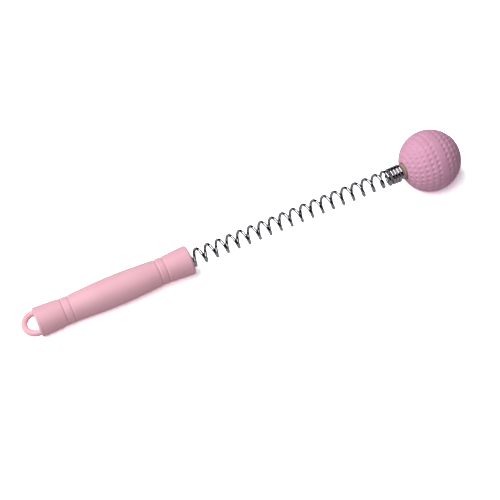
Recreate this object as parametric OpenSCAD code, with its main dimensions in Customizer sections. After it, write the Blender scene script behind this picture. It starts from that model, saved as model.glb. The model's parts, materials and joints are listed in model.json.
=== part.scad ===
// Spring-shaft tapping stick: a moulded grip with a hang loop, an open-coil spring for a shaft, and a
// dimpled rubber ball. Lengths are in millimetres and angles in degrees.
// The stick is drawn along +X from the butt face of its grip, then laid down on z = 0, where it rests
// on the rim of its butt and on its ball, with the middle of its bounding box over the origin.

/* [Grip] */
// Length of the grip from its butt face to its front face
grip_length = 122.3; // [121:0.1:124]
// Outer radius of the butt rim
butt_radius = 11.4; // [11.4:0.1:12]
// Radius of the two waists, where the grooved bands are
waist_radius = 10.3; // [10:0.05:10.6]
// Radius of the barrel at its widest
barrel_radius = 11.65; // [11.2:0.05:12.5]
// Radius of the flared front end
front_radius = 11.6; // [11:0.05:12]
// Length from the butt face to the middle of the rear band
rear_band_at = 24.2; // [21:0.1:27]
// Length from the butt face to the middle of the front band
front_band_at = 99.1; // [95:0.1:103]
// Distance between the two grooves of a band
groove_spacing = 5.7; // [5:0.1:7]
// Radius of the round tool that cuts a groove
groove_tool_radius = 1; // [0.8:0.05:1.3]
// Depth of a groove
groove_depth = 0.5; // [0.4:0.05:0.7]

/* [Hang loop] */
// Distance from the stick's axis to the middle of the loop's bar
loop_radius = 8.8; // [8.6:0.05:8.85]
// Radius of the loop's round bar
loop_bar_radius = 2.45; // [2:0.05:2.45]
// Length of the loop's straight legs behind the butt face
loop_leg = 0.3; // [0.3:0.1:2]

/* [Spring] */
// Diameter of the spring wire
wire_diameter = 2.5; // [2.2:0.05:2.55]
// Radius from the spring's axis to the middle of the wire
coil_radius = 5.8; // [5.7:0.05:5.85]
// Advance of one open turn
open_pitch = 9.03; // [8.9:0.01:9.06]
// Advance of one closed turn
closed_pitch = 2.6; // [2.58:0.01:2.62]

/* [Ball] */
// Radius of the rubber ball
ball_radius = 24.8; // [23:0.1:27]
// Distance from the butt face to the middle of the ball
ball_at = 330.5; // [329:0.1:332]
// Radius of the tan collar between the spring and the ball
collar_radius = 6.5; // [6:0.1:7]

/* [Hidden] */
// Fineness of the round surfaces when they are shown as a mesh
$fn = 96;
// Clearance between pieces that are pressed or moulded together
fit_gap = 0.05;

// Half turns of wire, from the end in the grip to the end at the ball
closed_halves = 6;
blend_halves = 5;
open_halves = 36;
half_turns = 2 * (closed_halves + blend_halves) + open_halves;
wire_radius = wire_diameter / 2;
// How far into the change from closed to open the first blended half turn is, in half turns
blend_lead = 0.8;

// Where the wire starts inside the grip's front socket
wire_start = 97.55;

// The spring is cut into links where the wire crosses a hinge line. Positions along the wire are
// counted in quarter turns. Even cuts swing about Y and odd cuts swing about Z, by turns.
first_cut = 24;
quarters_per_pair = 12;
quarters_to_second = 5;
link_count = 11;
cup_gap = 0.07;
join_radius = wire_radius + 0.03;

// Grip: end cap, hollow and socket
cap_flange = 2;
cap_plug_length = 10;
cap_plug_wall = 2;
hollow_radius = 8.2;
hollow_end = 90;
socket_start = 94.5;
socket_radius = 7.6;
edge_round = 1.2;
front_round = 1.8;
barrel_steps = 16;
flare_steps = 6;

// Spring anchor and ball plug
stem_radius = 4.4;
anchor_head = 1.6;
anchor_stem_end = 113;
collar_clearance = 0.15;
plug_stem_length = 8.5;
collar_end = 310;
spigot_radius = 5;
spigot_end = 322.5;
disc_radius = 7.5;
disc_thickness = 3;

// The laid-down pose: the butt's rounded rim and the ball both touch z = 0
rim_x = edge_round;
rim_radius = butt_radius - edge_round;
lean = asin((ball_radius - edge_round) / norm([ball_at - rim_x, rim_radius]))
    - atan(rim_radius / (ball_at - rim_x));
loop_reach = (ball_at + loop_leg + loop_radius) * cos(lean) + loop_bar_radius;
ball_row_x = (loop_reach - ball_radius) / 2;

pink = [0.87, 0.68, 0.71];
ball_pink = [0.86, 0.62, 0.74];
steel = [0.78, 0.79, 0.81];
tan_plastic = [0.72, 0.63, 0.53];

// Name of a spring link's node, such as spring_link_03
function link_name(i) = str("spring_link_", i < 10 ? "0" : "", i);

// Smooth weight that falls from 1 at t = 0 to 0 at t = 1
function fall(t) = (1 + cos(180 * t)) / 2;

// How open the spring is at half turn k, from 0 where it is closed to 1 where it is open
function openness(k) =
    let (from_end = min(k, half_turns - 1 - k))
    from_end < closed_halves ? 0
    : from_end >= closed_halves + blend_halves ? 1
    : 1 - fall((from_end - closed_halves + blend_lead) / (blend_halves + 1));

// Advance of half turn k along the stick
function advance(k) = (closed_pitch + (open_pitch - closed_pitch) * openness(k)) / 2;

// Places along the stick where each half turn starts, and where the last one ends
half_turn_x = [
    for (k = 0, x = wire_start; k <= half_turns; x = x + advance(k), k = k + 1) x
];

// The collar starts just past the wire's end
collar_start = half_turn_x[half_turns] + wire_radius + collar_clearance;

// Quarter-turn count of a cut: cut 1 is the first hinge and cut 0 is the start of the wire
function cut_at(i) =
    i == 0 ? 0
    : i > link_count + 1 ? 2 * half_turns
    : first_cut + quarters_per_pair * floor((i - 1) / 2) + quarters_to_second * ((i - 1) % 2);

// Point at t on a smooth swell between two ends, which rises by the given amount half way along
function bulge(from, to, rise, t) =
    [from[0] + (to[0] - from[0]) * t, from[1] + (to[1] - from[1]) * t + rise * sin(180 * t)];

// Lays a piece drawn along +X down in the resting pose
module lay() {
    translate([ball_row_x, 0, ball_radius])
        rotate([0, -lean, 0])
            translate([-ball_at, 0, 0])
                children();
}

// Turns an outline drawn as [radius, distance along the stick] about the stick's axis
module turned() {
    rotate([0, 90, 0])
        rotate_extrude()
            children();
}

// A solid disc or rod about the stick's axis, between two places along it
module rod(start, end, radius) {
    translate([start, 0, 0])
        rotate([0, 90, 0])
            cylinder(h = end - start, r = radius);
}

// Round cutter for one groove, seen in the outline
module groove_mark(x) {
    translate([waist_radius - groove_depth + groove_tool_radius, x])
        circle(r = groove_tool_radius);
}

// Outline of the grip's outer skin from the cap's flange to the front face
module grip_outline() {
    rear_end = rear_band_at - groove_spacing / 2;
    rear_start = rear_band_at + groove_spacing / 2;
    front_end = front_band_at - groove_spacing / 2;
    front_start = front_band_at + groove_spacing / 2;
    flare = front_radius - waist_radius;
    flare_end = grip_length - front_round;
    polygon(concat(
        [[0, cap_flange], [butt_radius, cap_flange]],
        [for (i = [1 : flare_steps])
            let (t = i / flare_steps)
            [butt_radius - (butt_radius - waist_radius) * pow(t, 1.5),
                cap_flange + (rear_end - cap_flange) * t]],
        [for (i = [0 : barrel_steps])
            let (p = bulge([rear_start, waist_radius], [front_end, waist_radius],
                barrel_radius - waist_radius, i / barrel_steps))
            [p[1], p[0]]],
        [for (i = [0 : flare_steps])
            let (t = i / flare_steps)
            [waist_radius + flare * t * (1.35 - 0.35 * t), front_start + (flare_end - front_start) * t]],
        [for (i = [1 : flare_steps])
            let (a = 90 * i / flare_steps)
            [front_radius - front_round * (1 - cos(a)), flare_end + front_round * sin(a)]],
        [[0, grip_length]]
    ));
}

module handle_shell() {
    half_band = groove_spacing / 2;
    lay() color(pink) difference() {
        turned() difference() {
            grip_outline();
            for (band = [rear_band_at, front_band_at]) {
                groove_mark(band - half_band);
                groove_mark(band + half_band);
            }
        }
        rod(cap_flange - 1, hollow_end, hollow_radius);
        rod(socket_start, grip_length + 1, socket_radius);
    }
}

// Flange with a rounded rim, a hollow plug that fills the grip's open butt, and the hang loop
module end_cap() {
    lay() color(pink) {
        turned() polygon(concat(
            [[0, 0]],
            [for (i = [0 : flare_steps])
                let (a = 90 * i / flare_steps)
                [butt_radius - edge_round + edge_round * sin(a), edge_round - edge_round * cos(a)]],
            [[butt_radius, cap_flange], [hollow_radius - fit_gap, cap_flange]],
            [[hollow_radius - fit_gap, cap_flange + cap_plug_length]],
            [[hollow_radius - fit_gap - cap_plug_wall, cap_flange + cap_plug_length]],
            [[hollow_radius - fit_gap - cap_plug_wall, cap_flange], [0, cap_flange]]
        ));
        translate([-loop_leg, 0, 0])
            rotate([0, 0, 90])
                rotate_extrude(angle = 180)
                    translate([loop_radius, 0])
                        circle(r = loop_bar_radius);
        for (side = [-1, 1])
            translate([-loop_leg, side * loop_radius, 0])
                rotate([0, 90, 0])
                    cylinder(h = loop_leg + cap_flange / 2, r = loop_bar_radius);
    }
}

// Headed post at the bottom of the grip's socket, inside the spring's closed root coils
module spring_anchor() {
    lay() color(tan_plastic) {
        rod(socket_start + fit_gap, socket_start + anchor_head, socket_radius - fit_gap);
        rod(socket_start + anchor_head, anchor_stem_end, stem_radius);
    }
}

// Puts a child into the frame of half turn k: its circle's middle is at the origin, and the wire
// starts on +X and turns towards +Y
module half_turn_frame(k) {
    side = k % 2 == 0 ? -1 : 1;
    slope = atan(advance(k) / 2 / coil_radius);
    translate([(half_turn_x[k] + half_turn_x[k + 1]) / 2, 0, 0])
        rotate([side * 90, 0, side * (90 + slope)])
            children();
}

// Radius of half turn k's circle
function half_turn_radius(k) = norm([coil_radius, advance(k) / 2]);

// Ball on the wire's middle line, at a place counted in quarter turns from the wire's start
module wire_ball(at, radius) {
    k = min(floor(at / 2), half_turns - 1);
    half_turn_frame(k)
        rotate([0, 0, 90 * (at - 2 * k)])
            translate([half_turn_radius(k), 0, 0])
                sphere(r = radius, $fn = 32);
}

// The wire between two places counted in quarter turns: one flat arc for each half turn, with a ball
// a touch thicker than the wire over each join
module wire_arcs(from, to) {
    first = floor(from / 2);
    last = ceil(to / 2) - 1;
    for (k = [first : last]) {
        start = 90 * max(from - 2 * k, 0);
        end = 90 * min(to - 2 * k, 2);
        half_turn_frame(k)
            rotate([0, 0, start])
                rotate_extrude(angle = end - start)
                    translate([half_turn_radius(k), 0])
                        circle(r = wire_radius, $fn = 32);
        if (k < last)
            wire_ball(2 * k + 2, join_radius);
    }
}

// One length of the spring between two cuts. Its start is cupped round the last length's ball end,
// so that the two can swing.
module spring_length(index) {
    from = cut_at(index);
    to = cut_at(index + 1);
    lay() color(steel) difference() {
        union() {
            wire_arcs(from, to);
            if (index <= link_count)
                wire_ball(to, join_radius);
        }
        if (index > 0)
            wire_ball(from, join_radius + cup_gap);
    }
}

module spring_root() {
    spring_length(0);
}

module spring_link(i) {
    spring_length(i);
}

module spring_tip() {
    spring_length(link_count + 1);
}

// Stem inside the spring's closed tip coils, tan collar, and a headed spigot inside the ball
module ball_plug() {
    lay() color(tan_plastic) {
        rod(collar_start - plug_stem_length, collar_start, stem_radius);
        rod(collar_start, collar_end, collar_radius);
        rod(collar_end, spigot_end, spigot_radius);
        rod(spigot_end - disc_thickness, spigot_end, disc_radius);
    }
}

// Solid rubber ball moulded round its plug
module rubber_ball() {
    lay() color(ball_pink) difference() {
        turned() translate([0, ball_at]) intersection() {
            circle(r = ball_radius);
            translate([0, -ball_radius])
                square([ball_radius, 2 * ball_radius]);
        }
        rod(ball_at - ball_radius - 1, collar_end + fit_gap, collar_radius + fit_gap);
        rod(collar_end, spigot_end, spigot_radius + fit_gap);
        rod(spigot_end - disc_thickness - fit_gap, spigot_end + fit_gap, disc_radius + fit_gap);
    }
}

end_cap();
handle_shell();
spring_anchor();
spring_root();
for (i = [1 : link_count]) {
    spring_link(i);
}
spring_tip();
ball_plug();
rubber_ball();
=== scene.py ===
"""Looks of the spring-shaft tapping stick: a moulded grip with a hang loop, a chromed open-coil spring for
a shaft, and a dimpled rubber ball. Every piece is drawn in the stick's own frame, in millimetres, with
+X running from the butt face of the grip to the ball, and is then laid into the row frame in metres."""

import json
import math

import bpy
import numpy as np
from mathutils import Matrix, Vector

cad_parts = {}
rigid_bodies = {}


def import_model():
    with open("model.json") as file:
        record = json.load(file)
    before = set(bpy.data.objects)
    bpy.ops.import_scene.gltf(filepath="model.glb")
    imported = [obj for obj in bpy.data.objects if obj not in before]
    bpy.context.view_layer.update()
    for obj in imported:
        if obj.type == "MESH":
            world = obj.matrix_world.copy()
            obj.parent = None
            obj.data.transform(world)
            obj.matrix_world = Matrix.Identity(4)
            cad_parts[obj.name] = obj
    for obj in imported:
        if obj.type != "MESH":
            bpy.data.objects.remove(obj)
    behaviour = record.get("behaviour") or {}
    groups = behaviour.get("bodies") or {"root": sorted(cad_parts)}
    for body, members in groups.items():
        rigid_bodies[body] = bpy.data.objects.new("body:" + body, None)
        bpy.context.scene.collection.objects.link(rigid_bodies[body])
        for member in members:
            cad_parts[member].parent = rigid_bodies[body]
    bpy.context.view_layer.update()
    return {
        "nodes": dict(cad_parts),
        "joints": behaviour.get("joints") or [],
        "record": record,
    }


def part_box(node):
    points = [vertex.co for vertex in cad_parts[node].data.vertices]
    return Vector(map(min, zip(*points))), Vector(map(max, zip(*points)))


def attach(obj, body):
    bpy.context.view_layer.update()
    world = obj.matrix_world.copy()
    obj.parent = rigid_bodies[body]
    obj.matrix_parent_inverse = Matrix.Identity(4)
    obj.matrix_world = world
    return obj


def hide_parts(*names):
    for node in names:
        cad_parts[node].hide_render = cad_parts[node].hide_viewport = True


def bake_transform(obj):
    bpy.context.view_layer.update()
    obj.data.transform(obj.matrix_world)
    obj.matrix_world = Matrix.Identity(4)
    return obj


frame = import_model()

# ---- Sizes, in millimetres, as in the CAD part -------------------------------------------------------

MM = 0.001

# Grip
GRIP_LENGTH = 122.3
BUTT_RADIUS = 11.4
WAIST_RADIUS = 10.3
BARREL_RADIUS = 11.65
FRONT_RADIUS = 11.6
BANDS_AT = (24.2, 99.1)
GROOVE_SPACING = 5.7
GROOVE_TOOL_RADIUS = 1.0
GROOVE_DEPTH = 0.5
GROOVE_LIP = 0.2  # softness of a groove's lips
FRONT_ROUND = 1.8
SHELL_EDGE = 0.15  # bevel of the shell's rim against the end cap
HOLLOW_RADIUS = 8.2
HOLLOW_ROUND = 1.0
HOLLOW_END = 90.0
SOCKET_START = 94.5
SOCKET_RADIUS = 7.6
SOCKET_LIP = 0.5
RING_STEP = 0.9  # spacing of the shell's rings
GROOVE_RING_STEP = 0.1  # their closer spacing round a groove
GROOVE_RING_REACH = 1.2
GRIP_SEGMENTS = 144

# End cap and its hang loop
CAP_FLANGE = 2.0
CAP_OUTER_ROUND = 1.2
CAP_INNER_ROUND = 0.15
CAP_PLUG_LENGTH = 10.0
CAP_PLUG_WALL = 2.0
FIT_GAP = 0.05
LOOP_RADIUS = 8.8
LOOP_BAR_RADIUS = 2.45
LOOP_LEG = 0.3
LOOP_FILLET = 1.2
GATE_RADIUS = 0.95
CAP_SKIN_CELL = 0.24

# Spring
WIRE_RADIUS = 1.25
COIL_RADIUS = 5.82
OPEN_PITCH = 9.03
CLOSED_PITCH = 2.6
CLOSED_HALVES = 6
BLEND_HALVES = 5
BLEND_LEAD = 0.8  # how far into the blend its first half turn is
HALF_TURNS = 58
WIRE_START = 97.55
ZERO_HALF = CLOSED_HALVES + BLEND_HALVES  # where the pitch is first full, and the wire is on the +Y side
FIRST_CUT = 24  # the joints' places along the wire, in quarter turns
QUARTERS_PER_PAIR = 12
QUARTERS_TO_SECOND = 5
RINGS_PER_HALF_TURN = 45
HINGE_CLEARANCE = 0.07
RINGS_IN_CUP = 2  # rings of the wire that the cup at its start takes away
HALF_BALL_ANGLES = np.radians(np.linspace(0, 88, 9))  # from the wire's skin to just short of its middle

# Ball and its plug
BALL_AT = 330.5
BALL_RADIUS = 24.8
COLLAR_RADIUS = 6.5
PLUG_STEM_LENGTH = 8.5
PLUG_STEM_RADIUS = 4.4
COLLAR_CLEARANCE = 0.15
COLLAR_END = 310.0
NECK_START = 307.1  # a shallow neck between the collar and the ball
NECK_END = 309.0
NECK_RADIUS = 5.8
BALL_LIP = 1.1
SPIGOT_RADIUS = 5.0
SPIGOT_END = 322.5
DISC_RADIUS = 7.5
DISC_THICKNESS = 3.0

# Dimples lie in rows parallel to the ball's plain middle band, with angles in degrees from its middle
FIRST_ROW = {-1: 9.0, 1: 12.2}  # on the spring's side and on the far side
ROW_STEP = {-1: 11.2, 1: 11.7}
DIMPLE_SPACING = 4.1
DIMPLE_RADIUS = 1.65
DIMPLE_DEPTH = 0.66
SEAM_AT = 2.0
SEAM_DEPTH = 0.07
SEAM_HALF_WIDTH = 0.3

# ---- The stick's frame inside the row frame ----------------------------------------------------------

hang_loop = next(m for m in frame["record"]["mounts"] if m["name"] == "hang_loop")
UP = Vector(hang_loop["axis"]).normalized()
ALONG = Vector((0, 1, 0)).cross(UP).normalized()
ball_low, ball_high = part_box("rubber_ball")
BALL_CENTRE = Vector((ball_high.x - BALL_RADIUS * MM, 0, (ball_low.z + ball_high.z) / 2))


def to_row(points):
    """Points of the stick's frame in millimetres, as an array of points of the row frame in metres."""
    turn = np.array([ALONG, (0, 1, 0), UP])
    return (np.asarray(points, float) - (BALL_AT, 0, 0)) * MM @ turn + np.array(BALL_CENTRE)


# ---- Mesh helpers ------------------------------------------------------------------------------------


def make_piece(name, points, faces, sharp_angle=35, uv=None):
    """A mesh object from points of the stick's frame, smooth-shaded up to the given edge angle."""
    mesh = bpy.data.meshes.new(name)
    mesh.from_pydata(to_row(points).tolist(), [], faces)
    mesh.validate()
    if uv is not None:
        layer = mesh.uv_layers.new(name="UVMap")
        corners = np.zeros(len(mesh.loops), np.int32)
        mesh.loops.foreach_get("vertex_index", corners)
        layer.data.foreach_set("uv", np.asarray(uv, np.float32)[corners].ravel())
    mesh.shade_smooth()
    mesh.set_sharp_from_angle(angle=math.radians(sharp_angle))
    piece = bpy.data.objects.new(name, mesh)
    bpy.context.scene.collection.objects.link(piece)
    return piece


def lathe(profile, segments):
    """Points and faces of a closed outline of (distance along the stick, radius) turned about its axis.
    The outline runs so that the solid is on its right. A radius of 0 is one point on the axis."""
    points, rings = [], []
    for x, radius in profile:
        if radius < 1e-6:
            rings.append([len(points)] * segments)
            points.append((x, 0, 0))
            continue
        rings.append(list(range(len(points), len(points) + segments)))
        for i in range(segments):
            a = 2 * math.pi * i / segments
            points.append((x, radius * math.cos(a), radius * math.sin(a)))
    faces = []
    for ring, following in zip(rings, rings[1:] + rings[:1]):
        for i in range(segments):
            j = (i + 1) % segments
            corners = [ring[i], following[i], following[j], ring[j]]
            face = [c for n, c in enumerate(corners) if c not in corners[:n]]
            if len(face) > 2:
                faces.append(face)
    return points, faces


def arc(centre_x, centre_r, radius, start, end, steps):
    """Outline points on an arc, with angles in degrees from +X towards the radius direction."""
    return [
        (
            centre_x + radius * math.cos(math.radians(start + (end - start) * i / steps)),
            centre_r + radius * math.sin(math.radians(start + (end - start) * i / steps)),
        )
        for i in range(steps + 1)
    ]


def soft_min(a, b, softness):
    """The smaller of two values, with a rounded change-over."""
    h = np.maximum(softness - np.abs(a - b), 0) / softness
    return np.minimum(a, b) - h * h * softness / 4


# ---- Grip --------------------------------------------------------------------------------------------


def groove_places():
    return [band + side * GROOVE_SPACING / 2 for band in BANDS_AT for side in (-1, 1)]


def grip_radius(x):
    """Outer radius of the grip at a distance from its butt face."""
    rear_end, rear_start, front_end, front_start = groove_places()
    flare_end = GRIP_LENGTH - FRONT_ROUND
    if x < rear_end:
        t = (x - CAP_FLANGE) / (rear_end - CAP_FLANGE)
        radius = BUTT_RADIUS - (BUTT_RADIUS - WAIST_RADIUS) * max(t, 0) ** 1.5
    elif rear_start < x < front_end:
        t = (x - rear_start) / (front_end - rear_start)
        radius = WAIST_RADIUS + (BARREL_RADIUS - WAIST_RADIUS) * math.sin(math.pi * t)
    elif x > front_start:
        t = (x - front_start) / (flare_end - front_start)
        radius = WAIST_RADIUS + (FRONT_RADIUS - WAIST_RADIUS) * t * (1.35 - 0.35 * t)
    else:
        radius = WAIST_RADIUS
    for place in groove_places():
        reach = abs(x - place)
        if reach < GROOVE_TOOL_RADIUS:
            floor = WAIST_RADIUS - GROOVE_DEPTH + GROOVE_TOOL_RADIUS
            floor -= math.sqrt(GROOVE_TOOL_RADIUS**2 - reach**2)
            radius = float(soft_min(radius, floor, GROOVE_LIP))
    return radius


def groove_distance(x):
    """Distance from a place along the grip to the middle of the nearest groove."""
    return min(abs(x - place) for place in groove_places())


def grip_stations():
    """Distances along the grip at which its skin has a ring: close together in the grooves."""
    flare_end = GRIP_LENGTH - FRONT_ROUND
    even = np.arange(CAP_FLANGE + SHELL_EDGE, flare_end, RING_STEP)
    stations = [x for x in even if groove_distance(x) > GROOVE_RING_REACH + GROOVE_RING_STEP]
    end = GROOVE_RING_REACH + GROOVE_RING_STEP / 2
    for place in groove_places():
        stations += list(np.arange(-GROOVE_RING_REACH, end, GROOVE_RING_STEP) + place)
    return sorted(stations) + [flare_end]


def make_grip():
    """Turned shell with a hollow behind and a socket in front, as one closed outline."""
    skin = [(x, grip_radius(x)) for x in grip_stations()]
    lip = SOCKET_LIP
    profile = (
        [(HOLLOW_END, 0), (HOLLOW_END, HOLLOW_RADIUS - HOLLOW_ROUND)]
        + arc(HOLLOW_END - HOLLOW_ROUND, HOLLOW_RADIUS - HOLLOW_ROUND, HOLLOW_ROUND, 0, 90, 4)[1:]
        + [(CAP_FLANGE, HOLLOW_RADIUS), (CAP_FLANGE, BUTT_RADIUS - SHELL_EDGE)]
        + skin
        + arc(GRIP_LENGTH - FRONT_ROUND, FRONT_RADIUS - FRONT_ROUND, FRONT_ROUND, 90, 0, 8)[1:]
        + arc(GRIP_LENGTH - lip, SOCKET_RADIUS + lip, lip, 0, -90, 6)
        + [(SOCKET_START, SOCKET_RADIUS), (SOCKET_START, 0)]
    )
    points, faces = lathe(profile, GRIP_SEGMENTS)
    piece = make_piece("grip_shell", points, faces)
    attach(piece, "handle")
    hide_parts("handle_shell")
    return piece


# ---- End cap with its hang loop ----------------------------------------------------------------------


def loop_distance(p):
    """Signed distance to the round bar of the hang loop, whose two legs run into the cap."""
    behind = p[:, 0] < -LOOP_LEG
    across = np.where(behind, np.hypot(p[:, 0] + LOOP_LEG, p[:, 1]), np.abs(p[:, 1]))
    bar = np.hypot(across - LOOP_RADIUS, p[:, 2]) - LOOP_BAR_RADIUS
    return np.maximum(bar, p[:, 0] - CAP_FLANGE / 2)


def flange_distance(p):
    """Signed distance to the cap's round flange, rounded more on its outer rim than on its inner one."""
    middle = CAP_FLANGE / 2
    edge = np.where(p[:, 0] < middle, CAP_OUTER_ROUND, CAP_INNER_ROUND)
    a = np.hypot(p[:, 1], p[:, 2]) - (BUTT_RADIUS - edge)
    b = np.abs(p[:, 0] - middle) - (middle - edge)
    outside = np.hypot(np.maximum(a, 0), np.maximum(b, 0))
    return np.minimum(np.maximum(a, b), 0) + outside - edge


def plug_distance(p):
    """Signed distance to the hollow plug that holds the cap in the grip."""
    outer = HOLLOW_RADIUS - FIT_GAP
    middle_radius = outer - CAP_PLUG_WALL / 2
    a = np.abs(np.hypot(p[:, 1], p[:, 2]) - middle_radius) - CAP_PLUG_WALL / 2
    length = CAP_FLANGE / 2 + CAP_PLUG_LENGTH
    b = np.abs(p[:, 0] - CAP_FLANGE / 2 - length / 2) - length / 2
    return np.maximum(a, b)


def gate_distance(p):
    """Signed distance to the shallow ring left on the loop's tip where the plastic was let in."""
    middle = np.array([-LOOP_LEG - LOOP_RADIUS + 0.4, 0, LOOP_BAR_RADIUS + 0.15])
    away = np.linalg.norm(p - middle, axis=1)
    return np.abs(away - GATE_RADIUS * 0.62) - GATE_RADIUS * 0.3


def cap_distance(p):
    body = soft_min(flange_distance(p), loop_distance(p), LOOP_FILLET)
    body = -soft_min(-body, gate_distance(p), 0.1)
    return np.minimum(body, plug_distance(p))


def drawn_onto(points, distance, rounds=6):
    """Points moved along the distance function's slope until they lie on its surface."""
    step = 0.01
    for _ in range(rounds):
        here = distance(points)
        slope = np.stack(
            [
                (distance(points + step * axis) - distance(points - step * axis)) / (2 * step)
                for axis in np.eye(3)
            ],
            axis=1,
        )
        points = points - slope * (here / np.maximum((slope**2).sum(1), 0.2))[:, None]
    return points


def voxel_skin(points, faces, size):
    """Points and faces of an even skin over closed, overlapping shapes."""
    mesh = bpy.data.meshes.new("rough")
    mesh.from_pydata(points, [], faces)
    rough = bpy.data.objects.new("rough", mesh)
    bpy.context.scene.collection.objects.link(rough)
    remesh = rough.modifiers.new("skin", "REMESH")
    remesh.mode = "VOXEL"
    remesh.voxel_size = size
    evaluated = rough.evaluated_get(bpy.context.evaluated_depsgraph_get())
    skin = bpy.data.meshes.new_from_object(evaluated)
    found = np.zeros(len(skin.vertices) * 3)
    skin.vertices.foreach_get("co", found)
    skin_faces = [list(p.vertices) for p in skin.polygons]
    bpy.data.objects.remove(rough)
    return found.reshape(-1, 3), skin_faces


def rough_loop(segments=48, sides=20):
    """Closed half ring with straight legs, the rough shape of the hang loop."""
    stations = [(CAP_FLANGE / 2, LOOP_RADIUS)]
    for i in range(segments + 1):
        a = math.pi * i / segments
        stations.append((-LOOP_LEG - LOOP_RADIUS * math.sin(a), LOOP_RADIUS * math.cos(a)))
    stations.append((CAP_FLANGE / 2, -LOOP_RADIUS))
    points, faces = [], []
    for n, (x, y) in enumerate(stations):
        out = Vector((x + LOOP_LEG, y, 0)).normalized() if 0 < n < len(stations) - 1 else None
        out = out or Vector((0, math.copysign(1, y), 0))
        for s in range(sides):
            a = 2 * math.pi * s / sides
            offset = out * (LOOP_BAR_RADIUS * math.cos(a))
            points.append((x + offset.x, y + offset.y, LOOP_BAR_RADIUS * math.sin(a)))
    for n in range(len(stations) - 1):
        for s in range(sides):
            t = (s + 1) % sides
            faces.append([n * sides + s, n * sides + t, (n + 1) * sides + t, (n + 1) * sides + s])
    faces.append(list(range(sides))[::-1])
    faces.append(list(range((len(stations) - 1) * sides, len(stations) * sides)))
    return points, faces


def make_end_cap():
    outer = HOLLOW_RADIUS - FIT_GAP
    inner = outer - CAP_PLUG_WALL
    plug_end = CAP_FLANGE + CAP_PLUG_LENGTH
    outline = [
        (CAP_FLANGE, 0),
        (CAP_FLANGE, inner),
        (plug_end, inner),
        (plug_end, outer),
        (CAP_FLANGE, outer),
        (CAP_FLANGE, BUTT_RADIUS),
        (0, BUTT_RADIUS),
        (0, 0),
    ]
    points, faces = lathe(outline[::-1], 96)
    loop_points, loop_faces = rough_loop()
    shift = len(points)
    points = points + loop_points
    faces = faces + [[c + shift for c in face] for face in loop_faces]
    skin, skin_faces = voxel_skin(points, faces, CAP_SKIN_CELL)
    piece = make_piece("hang_cap", drawn_onto(skin, cap_distance), skin_faces, sharp_angle=50)
    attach(piece, "handle")
    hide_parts("end_cap")
    return piece


# ---- Spring ------------------------------------------------------------------------------------------


def openness(half):
    """How open the spring is at a half turn, from 0 where it is closed to 1 where it is open."""
    past_closed = min(half, HALF_TURNS - 1 - half) - CLOSED_HALVES
    if past_closed < 0:
        return 0.0
    if past_closed >= BLEND_HALVES:
        return 1.0
    return (1 - math.cos(math.pi * (past_closed + BLEND_LEAD) / (BLEND_HALVES + 1))) / 2


def half_turn_places():
    """Distances along the stick where each half turn of wire starts, and where the last one ends."""
    places = [WIRE_START]
    for half in range(HALF_TURNS):
        pitch = CLOSED_PITCH + (OPEN_PITCH - CLOSED_PITCH) * openness(half)
        places.append(places[-1] + pitch / 2)
    return np.array(places)


PLACES = half_turn_places()


def wire_x(half):
    """Distance along the stick of the wire's middle line, smoothly between the half turns' places."""
    before = 2 * PLACES[0] - PLACES[1]
    after = 2 * PLACES[-1] - PLACES[-2]
    padded = np.concatenate([[before], PLACES, [after]])
    k = np.clip(np.floor(half).astype(int), 0, HALF_TURNS - 1)
    t = half - k
    a, b, c, d = (padded[k + n] for n in range(4))
    return 0.5 * (2 * b + (c - a) * t + (2 * a - 5 * b + 4 * c - d) * t**2 + (3 * b - a - 3 * c + d) * t**3)


def ring_frame(half):
    """Middle of the wire at places in half turns, with the directions away from the coil and ahead."""
    turn = math.pi * (half - ZERO_HALF)
    small = 1e-4
    slope = (wire_x(half + small) - wire_x(half - small)) / (2 * small)
    middle = np.stack([wire_x(half), COIL_RADIUS * np.cos(turn), COIL_RADIUS * np.sin(turn)], axis=1)
    out = np.stack([np.zeros_like(turn), np.cos(turn), np.sin(turn)], axis=1)
    ahead = np.stack([slope, -math.pi * COIL_RADIUS * out[:, 2], math.pi * COIL_RADIUS * out[:, 1]], axis=1)
    return middle, out, ahead / np.linalg.norm(ahead, axis=1)[:, None]


def wire_rings(first, last, sides, cup_first, ball_last):
    """Rings of points round the wire between two places counted in half turns, and their UVs. A length
    starts in a cup round the half ball that the one before it ends in, or in a free cut end."""
    count = max(int(round((last - first) * RINGS_PER_HALF_TURN)), 2)
    half = np.linspace(first, last, count + 1)
    if cup_first:
        half = np.delete(half, range(1, RINGS_IN_CUP))
    start_past, start_radius = wire_cup() if cup_first else cut_end()
    end_past, end_radius = half_ball() if ball_last else cut_end()
    between = len(half) - 2
    repeats = [len(start_past)] + [1] * between + [len(end_past)]
    past = np.concatenate([-start_past[::-1], np.zeros(between), end_past])
    radius = np.concatenate([start_radius[::-1], np.full(between, WIRE_RADIUS), end_radius])
    middle, out, ahead = (np.repeat(values, repeats, axis=0) for values in ring_frame(half))
    middle = middle + ahead * past[:, None]
    side = np.cross(ahead, out)
    a = 2 * math.pi * np.arange(sides) / sides
    ring = out[:, None] * np.cos(a)[None, :, None] + side[:, None] * np.sin(a)[None, :, None]
    points = middle[:, None] + ring * radius[:, None, None]
    length = np.repeat(half, repeats) * math.pi * COIL_RADIUS + past
    uv = np.stack(np.broadcast_arrays(length[:, None] * 0.01, (a / (2 * math.pi))[None, :]), axis=2)
    return points.reshape(-1, 3), uv.reshape(-1, 2), len(radius)


def wire_cup():
    """Rings of a cup sunk into the wire's start, centred on the hinge and wider than the ball in it. Like
    the other ends, it gives how far past the end each ring lies and its radius, from the skin inwards."""
    radius = WIRE_RADIUS * np.cos(HALF_BALL_ANGLES)
    return -np.sqrt((WIRE_RADIUS + HINGE_CLEARANCE) ** 2 - radius**2), radius


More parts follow.
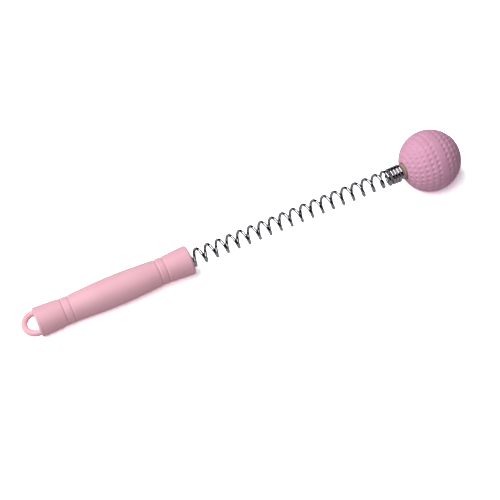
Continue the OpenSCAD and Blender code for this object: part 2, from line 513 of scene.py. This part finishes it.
def half_ball():
    """Half ball on the wire's end, centred on the hinge."""
    return WIRE_RADIUS * np.sin(HALF_BALL_ANGLES), WIRE_RADIUS * np.cos(HALF_BALL_ANGLES)


def cut_end():
    """Free end of the wire, with its edge rounded off."""
    return np.array([0, 0.12, 0.24]), WIRE_RADIUS - np.array([0, 0.1, 0.35])


def tube_faces(rings, sides):
    """Faces of a tube through rings of points, closed at both ends."""
    faces = []
    for n in range(rings - 1):
        for s in range(sides):
            t = (s + 1) % sides
            faces.append([n * sides + s, n * sides + t, (n + 1) * sides + t, (n + 1) * sides + s])
    faces.append(list(range(sides))[::-1])
    faces.append(list(range((rings - 1) * sides, rings * sides)))
    return faces


def joint_half(number):
    """Place of a joint along the wire, in half turns. Joint 1 is the first in front of the grip."""
    pair, second = divmod(number - 1, 2)
    return (FIRST_CUT + QUARTERS_PER_PAIR * pair + QUARTERS_TO_SECOND * second) / 2


def make_spring(sides=24):
    """The spring is one wire. It is cut where it crosses a hinge that bends it up and down, and the two
    lengths meet there as a half ball in a cup, centred on the hinge's axis, so that they fit at any angle.
    Between two such cuts, a length is one piece across the hinge that bends it sideways."""
    joints = frame["joints"]
    bodies = [joints[0]["parent"]] + [joint["child"] for joint in joints]
    halves = [joint_half(n) for n in range(1, len(joints) + 1)]
    cuts = [0.0] + halves[0::2] + [float(HALF_TURNS)]
    lengths = []
    for n, (first, last) in enumerate(zip(cuts, cuts[1:])):
        is_first, is_last = n == 0, n == len(cuts) - 2
        points, uv, rings = wire_rings(first, last, sides, not is_first, not is_last)
        piece = make_piece(f"spring_wire_{n + 1:02d}", points, tube_faces(rings, sides), 50, uv)
        if is_first:
            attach(piece, bodies[0])
            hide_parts("spring_root")
        else:
            before, after = 2 * n - 1, 2 * n
            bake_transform(piece)
            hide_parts(f"spring_link_{before:02d}")
            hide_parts("spring_tip" if is_last else f"spring_link_{after:02d}")
        lengths.append(piece)
    return lengths


# ---- Ball plug ---------------------------------------------------------------------------------------


def make_plug():
    """Stem inside the spring, a collar with softened edges, and the headed spigot moulded into the ball."""
    disc_start = SPIGOT_END - DISC_THICKNESS
    collar_start = float(PLACES[-1]) + WIRE_RADIUS + COLLAR_CLEARANCE
    stem_start = collar_start - PLUG_STEM_LENGTH
    edge = 0.5
    profile = (
        [(stem_start, 0)]
        + arc(stem_start + edge, PLUG_STEM_RADIUS - edge, edge, 180, 90, 4)
        + [(collar_start - 0.2, PLUG_STEM_RADIUS), (collar_start, PLUG_STEM_RADIUS + 0.2)]
        + arc(collar_start + edge, COLLAR_RADIUS - edge, edge, 180, 90, 6)
        + arc(NECK_START - edge, COLLAR_RADIUS - edge, edge, 90, 0, 6)
        + [(NECK_START + 0.1, NECK_RADIUS), (NECK_END, NECK_RADIUS), (NECK_END + 0.2, COLLAR_RADIUS)]
        + [(COLLAR_END, COLLAR_RADIUS), (COLLAR_END, SPIGOT_RADIUS)]
        + [(disc_start, SPIGOT_RADIUS), (disc_start, DISC_RADIUS)]
        + [(SPIGOT_END, DISC_RADIUS), (SPIGOT_END, 0)]
    )
    points, faces = lathe(profile, 96)
    piece = make_piece("ball_collar", points, faces)
    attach(piece, "head")
    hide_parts("ball_plug")
    return piece


# ---- Ball --------------------------------------------------------------------------------------------


def dimple_rows():
    """(latitude in degrees, count) of every row, by latitude from the middle band. The rows near the collar
    stop short of it, and the far end closes with a single dimple."""
    nearest = -90 + math.degrees(math.asin((COLLAR_RADIUS + BALL_LIP + DIMPLE_RADIUS) / BALL_RADIUS))
    rows = []
    for side in (-1, 1):
        latitude = FIRST_ROW[side]
        while latitude < 90:
            around = 2 * math.pi * BALL_RADIUS * math.cos(math.radians(latitude))
            count = max(int(round(around / DIMPLE_SPACING)), 1)
            if side * latitude > nearest and count > 3:
                rows.append((side * latitude, count))
            latitude += ROW_STEP[side]
    return rows + [(90.0, 1)]


def dimple_depth(latitude, longitude):
    """How far the ball's skin is pressed in, for arrays of latitude and longitude in radians."""
    depth = np.zeros_like(latitude)
    for number, (row, count) in enumerate(dimple_rows()):
        row = math.radians(row)
        step = 2 * math.pi / count
        shift = step * 0.5 * (number % 2)
        across = (longitude - shift + step / 2) % step - step / 2
        cosine = np.sin(latitude) * math.sin(row) + np.cos(latitude) * math.cos(row) * np.cos(across)
        away = BALL_RADIUS * np.arccos(np.clip(cosine, -1, 1)) / DIMPLE_RADIUS
        depth = np.maximum(depth, DIMPLE_DEPTH * np.clip(1 - away**2, 0, None))
    from_seam = np.abs(BALL_RADIUS * (latitude - math.radians(SEAM_AT))) / SEAM_HALF_WIDTH
    return depth + SEAM_DEPTH * np.clip(1 - from_seam**2, 0, None)


def make_ball(segments=480):
    """Dimpled skin round a cavity that holds the plug, as one closed outline turned about the stick."""
    hole = COLLAR_RADIUS + FIT_GAP
    lip = BALL_LIP
    lip_angle = math.degrees(math.asin((hole + lip) / BALL_RADIUS))
    skin_count = 300
    skin = [
        (
            BALL_AT - BALL_RADIUS * math.cos(math.radians(a)),
            BALL_RADIUS * math.sin(math.radians(a)),
        )
        for a in np.linspace(lip_angle, 180, skin_count)
    ]
    skin[-1] = (BALL_AT + BALL_RADIUS, 0)
    lip_x = skin[0][0] + lip * 0.9
    disc_start = SPIGOT_END - DISC_THICKNESS - FIT_GAP
    cavity = [
        (SPIGOT_END + FIT_GAP, 0),
        (SPIGOT_END + FIT_GAP, DISC_RADIUS + FIT_GAP),
        (disc_start, DISC_RADIUS + FIT_GAP),
        (disc_start, SPIGOT_RADIUS + FIT_GAP),
        (COLLAR_END + FIT_GAP, SPIGOT_RADIUS + FIT_GAP),
        (COLLAR_END + FIT_GAP, hole),
    ]
    rim = arc(lip_x, hole + lip, lip, 270, 190, 8)
    points, faces = lathe(cavity + rim + skin, segments)
    points = np.array(points)
    middle = np.array([BALL_AT, 0, 0])
    away = points - middle
    radius = np.linalg.norm(away, axis=1)
    on_skin = radius > BALL_RADIUS - 0.01
    latitude = np.arcsin(np.clip(away[:, 0] / np.maximum(radius, 1e-6), -1, 1))
    longitude = np.arctan2(away[:, 2], away[:, 1])
    depth = np.where(on_skin, dimple_depth(latitude, longitude), 0)
    points = middle + away * (1 - depth / np.maximum(radius, 1e-6))[:, None]
    piece = make_piece("dimpled_ball", points, faces, sharp_angle=60)
    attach(piece, "head")
    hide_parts("rubber_ball")
    return piece


# ---- Materials ---------------------------------------------------------------------------------------


def linear(red, green, blue):
    """A colour given as display values from 11 to 255, as the linear values that the shaders use."""
    return tuple(((level / 255 + 0.055) / 1.055) ** 2.4 for level in (red, green, blue))


class Look:
    """A node material built up one feature at a time."""

    def __init__(self, name, roughness, metallic=0.0):
        self.material = bpy.data.materials.new(name)
        self.material.use_nodes = True
        self.nodes = self.material.node_tree.nodes
        self.links = self.material.node_tree.links
        self.shader = self.nodes["Principled BSDF"]
        self.shader.inputs["Roughness"].default_value = roughness
        self.shader.inputs["Metallic"].default_value = metallic
        self.where = self.nodes.new("ShaderNodeTexCoord")
        self.bump = None

    def noise(self, scale, detail=3.0, roughness=0.5, source="Object", stretch=None):
        node = self.nodes.new("ShaderNodeTexNoise")
        node.inputs["Scale"].default_value = scale
        node.inputs["Detail"].default_value = detail
        node.inputs["Roughness"].default_value = roughness
        place = self.where.outputs[source]
        if stretch is not None:
            mapping = self.nodes.new("ShaderNodeMapping")
            mapping.inputs["Scale"].default_value = stretch
            self.links.new(place, mapping.inputs["Vector"])
            place = mapping.outputs["Vector"]
        self.links.new(place, node.inputs["Vector"])
        return node.outputs["Fac"]

    def ramp(self, value, stops):
        """Colours or grey levels along a value: stops are (place, colour)."""
        node = self.nodes.new("ShaderNodeValToRGB")
        elements = node.color_ramp.elements
        while len(elements) < len(stops):
            elements.new(0.5)
        for element, (place, colour) in zip(elements, stops):
            element.position = place
            element.color = (*colour, 1.0)
        self.links.new(value, node.inputs["Fac"])
        return node.outputs["Color"]

    def between(self, value, low, high):
        """A value from 0 to 1 as a value from low to high."""
        node = self.nodes.new("ShaderNodeMapRange")
        node.inputs["From Min"].default_value = 0.25
        node.inputs["From Max"].default_value = 0.75
        node.inputs["To Min"].default_value = low
        node.inputs["To Max"].default_value = high
        self.links.new(value, node.inputs["Value"])
        return node.outputs["Result"]

    def colour(self, value):
        self.links.new(value, self.shader.inputs["Base Color"])

    def roughness(self, value):
        self.links.new(value, self.shader.inputs["Roughness"])

    def raise_by(self, value, height_mm, strength=1.0):
        """Adds a bump layer of the given height."""
        node = self.nodes.new("ShaderNodeBump")
        node.inputs["Strength"].default_value = strength
        node.inputs["Distance"].default_value = height_mm * MM
        self.links.new(value, node.inputs["Height"])
        if self.bump is not None:
            self.links.new(self.bump, node.inputs["Normal"])
        self.bump = node.outputs["Normal"]
        self.links.new(self.bump, self.shader.inputs["Normal"])


def moulded_plastic(name, light, dark, roughness):
    """Satin moulded plastic: a slightly clouded colour, a fine spark-eroded grain and a few soft sinks."""
    look = Look(name, roughness)
    cloud = look.noise(55, detail=4)
    look.colour(look.ramp(cloud, [(0.3, dark), (0.7, light)]))
    grain = look.noise(2600, detail=2)
    look.roughness(look.between(grain, roughness - 0.05, roughness + 0.05))
    look.raise_by(look.noise(90, detail=2), 0.05)
    look.raise_by(grain, 0.012)
    look.shader.inputs["Specular IOR Level"].default_value = 0.45
    return look.material


def ball_rubber(name):
    """Soft matt rubber: mottled, with a powdery grain."""
    look = Look(name, 0.62)
    mottle = look.noise(120, detail=5, roughness=0.6)
    look.colour(look.ramp(mottle, [(0.3, linear(215, 155, 183)), (0.7, linear(225, 167, 194))]))
    grain = look.noise(1900, detail=3)
    look.roughness(look.between(grain, 0.56, 0.68))
    look.raise_by(look.noise(260, detail=3), 0.03)
    look.raise_by(grain, 0.014)
    look.shader.inputs["Specular IOR Level"].default_value = 0.35
    look.shader.inputs["Sheen Weight"].default_value = 0.08
    return look.material


def spring_steel(name):
    """Bright plated wire with faint drawing lines along its length."""
    look = Look(name, 0.07, metallic=1.0)
    lines = look.noise(6, detail=4, source="UV", stretch=(3, 60, 1))
    look.colour(look.ramp(lines, [(0.3, linear(206, 208, 212)), (0.7, linear(222, 224, 227))]))
    look.roughness(look.between(lines, 0.04, 0.1))
    look.raise_by(lines, 0.004)
    return look.material


def dress(piece, material):
    piece.data.materials.clear()
    piece.data.materials.append(material)


# ---- Stage -------------------------------------------------------------------------------------------

CAMERA_TARGET = Vector((-0.0039, -0.0088, 0.0118))
CAMERA_DISTANCE = 0.8127
CAMERA_AZIMUTH = 25.59
CAMERA_ELEVATION = 54.60
CAMERA_LENS = 76.73
SENSOR_WIDTH = 36.0

SOFTBOX_DISTANCE = 1.5
WHITE = (1, 1, 1, 1)
FILL_TINT = (0.95, 0.98, 1.05, 1)  # the slightly cool light that reaches the shaded sides
FILL = 0.12
ROOM_IN_CHROME = 0.0
BACKDROP = 0.95

FLOOR_HALF = 3.0
FLOOR_CELLS = 8
FLOOR_DROP = 0.0002  # how far the floor lies below the surface that the stick rests on
FLOOR_BOUNCE = 0.68
FLOOR_IN_CHROME = 0.3
FLOOR_SEEN = 3.5


def direction(azimuth, elevation):
    """Unit vector from the object to a place round it: azimuth 0 is on the -Y side, 90 on the -X side."""
    a, e = math.radians(azimuth), math.radians(elevation)
    return Vector((-math.sin(a) * math.cos(e), -math.cos(a) * math.cos(e), math.sin(e)))


def make_camera():
    camera = bpy.data.objects.new("camera", bpy.data.cameras.new("camera"))
    camera.data.sensor_width = SENSOR_WIDTH
    camera.data.lens = CAMERA_LENS
    camera.data.clip_start = 0.01
    back = direction(CAMERA_AZIMUTH, CAMERA_ELEVATION)
    camera.location = CAMERA_TARGET + back * CAMERA_DISTANCE
    camera.rotation_mode = "QUATERNION"
    camera.rotation_quaternion = (-back).to_track_quat("-Z", "Y")
    bpy.context.scene.collection.objects.link(camera)
    bpy.context.scene.camera = camera


def make_softbox(name, azimuth, elevation, width, height, power, in_chrome=True):
    """Soft rectangular lamp aimed at the object. One that isn't in the chrome lights only matt surfaces."""
    light = bpy.data.lights.new(name, "AREA")
    light.shape = "RECTANGLE"
    light.size = width
    light.size_y = height
    light.energy = power
    lamp = bpy.data.objects.new(name, light)
    away = direction(azimuth, elevation)
    lamp.location = away * SOFTBOX_DISTANCE
    lamp.rotation_mode = "QUATERNION"
    lamp.rotation_quaternion = away.to_track_quat("Z", "Y")
    lamp.visible_glossy = in_chrome
    bpy.context.scene.collection.objects.link(lamp)
    return lamp


def shade_by_ray(tree, other, reflected, seen):
    """Shows one shader to the camera, one to reflections in the chrome, and another to all other rays."""
    nodes, links = tree.nodes, tree.links
    ray = nodes.new("ShaderNodeLightPath")
    not_seen = nodes.new("ShaderNodeMixShader")
    links.new(ray.outputs["Is Glossy Ray"], not_seen.inputs["Fac"])
    links.new(other.outputs[0], not_seen.inputs[1])
    links.new(reflected.outputs[0], not_seen.inputs[2])
    all_rays = nodes.new("ShaderNodeMixShader")
    links.new(ray.outputs["Is Camera Ray"], all_rays.inputs["Fac"])
    links.new(not_seen.outputs["Shader"], all_rays.inputs[1])
    links.new(seen.outputs[0], all_rays.inputs[2])
    return all_rays.outputs["Shader"]


def make_floor():
    """Plain white table. It is over-bright to the camera, so that its lit parts come out an even white,
    plain white to matt surfaces near it, and darker in the chrome."""
    side = FLOOR_CELLS + 1
    places = np.linspace(-FLOOR_HALF, FLOOR_HALF, side)
    points = [(x, y, -FLOOR_DROP) for y in places for x in places]
    faces = [
        [j * side + i, j * side + i + 1, (j + 1) * side + i + 1, (j + 1) * side + i]
        for j in range(FLOOR_CELLS)
        for i in range(FLOOR_CELLS)
    ]
    mesh = bpy.data.meshes.new("floor")
    mesh.from_pydata(points, [], faces)
    floor = bpy.data.objects.new("floor", mesh)
    bpy.context.scene.collection.objects.link(floor)
    material = bpy.data.materials.new("white_table")
    material.use_nodes = True
    tree = material.node_tree
    tree.nodes.clear()
    shades = []
    for level in (FLOOR_BOUNCE, FLOOR_IN_CHROME, FLOOR_SEEN):
        shades.append(tree.nodes.new("ShaderNodeBsdfDiffuse"))
        shades[-1].inputs["Color"].default_value = (level, level, level, 1)
    out = tree.nodes.new("ShaderNodeOutputMaterial")
    tree.links.new(shade_by_ray(tree, *shades), out.inputs["Surface"])
    dress(floor, material)


def make_world():
    """Soft fill for matt surfaces, a dark room in the chrome, and a pale backdrop behind everything."""
    world = bpy.data.worlds.new("studio")
    world.use_nodes = True
    tree = world.node_tree
    tree.nodes.clear()
    shades = []
    for colour, strength in ((FILL_TINT, FILL), (WHITE, ROOM_IN_CHROME), (WHITE, BACKDROP)):
        shades.append(tree.nodes.new("ShaderNodeBackground"))
        shades[-1].inputs["Color"].default_value = colour
        shades[-1].inputs["Strength"].default_value = strength
    out = tree.nodes.new("ShaderNodeOutputWorld")
    tree.links.new(shade_by_ray(tree, *shades), out.inputs["Surface"])
    bpy.context.scene.world = world


def make_stage():
    make_camera()
    make_floor()
    make_world()
    make_softbox("key", azimuth=95, elevation=65, width=2.0, height=0.8, power=21.5)
    make_softbox("side", azimuth=118, elevation=50, width=1.0, height=1.0, power=7.5, in_chrome=False)
    bpy.context.scene.view_settings.view_transform = "Standard"


# ---- Assembly ----------------------------------------------------------------------------------------

make_stage()

grip_pink = moulded_plastic("grip_pink", linear(238, 184, 196), linear(234, 178, 190), 0.42)
tan_plastic = moulded_plastic("tan_plastic", linear(176, 156, 138), linear(166, 146, 128), 0.45)
wire_steel = spring_steel("wire_steel")
ball_pink = ball_rubber("ball_pink")

dress(make_grip(), grip_pink)
dress(make_end_cap(), grip_pink)
for length in make_spring():
    dress(length, wire_steel)
dress(make_plug(), tan_plastic)
dress(make_ball(), ball_pink)
dress(frame["nodes"]["spring_anchor"], tan_plastic)
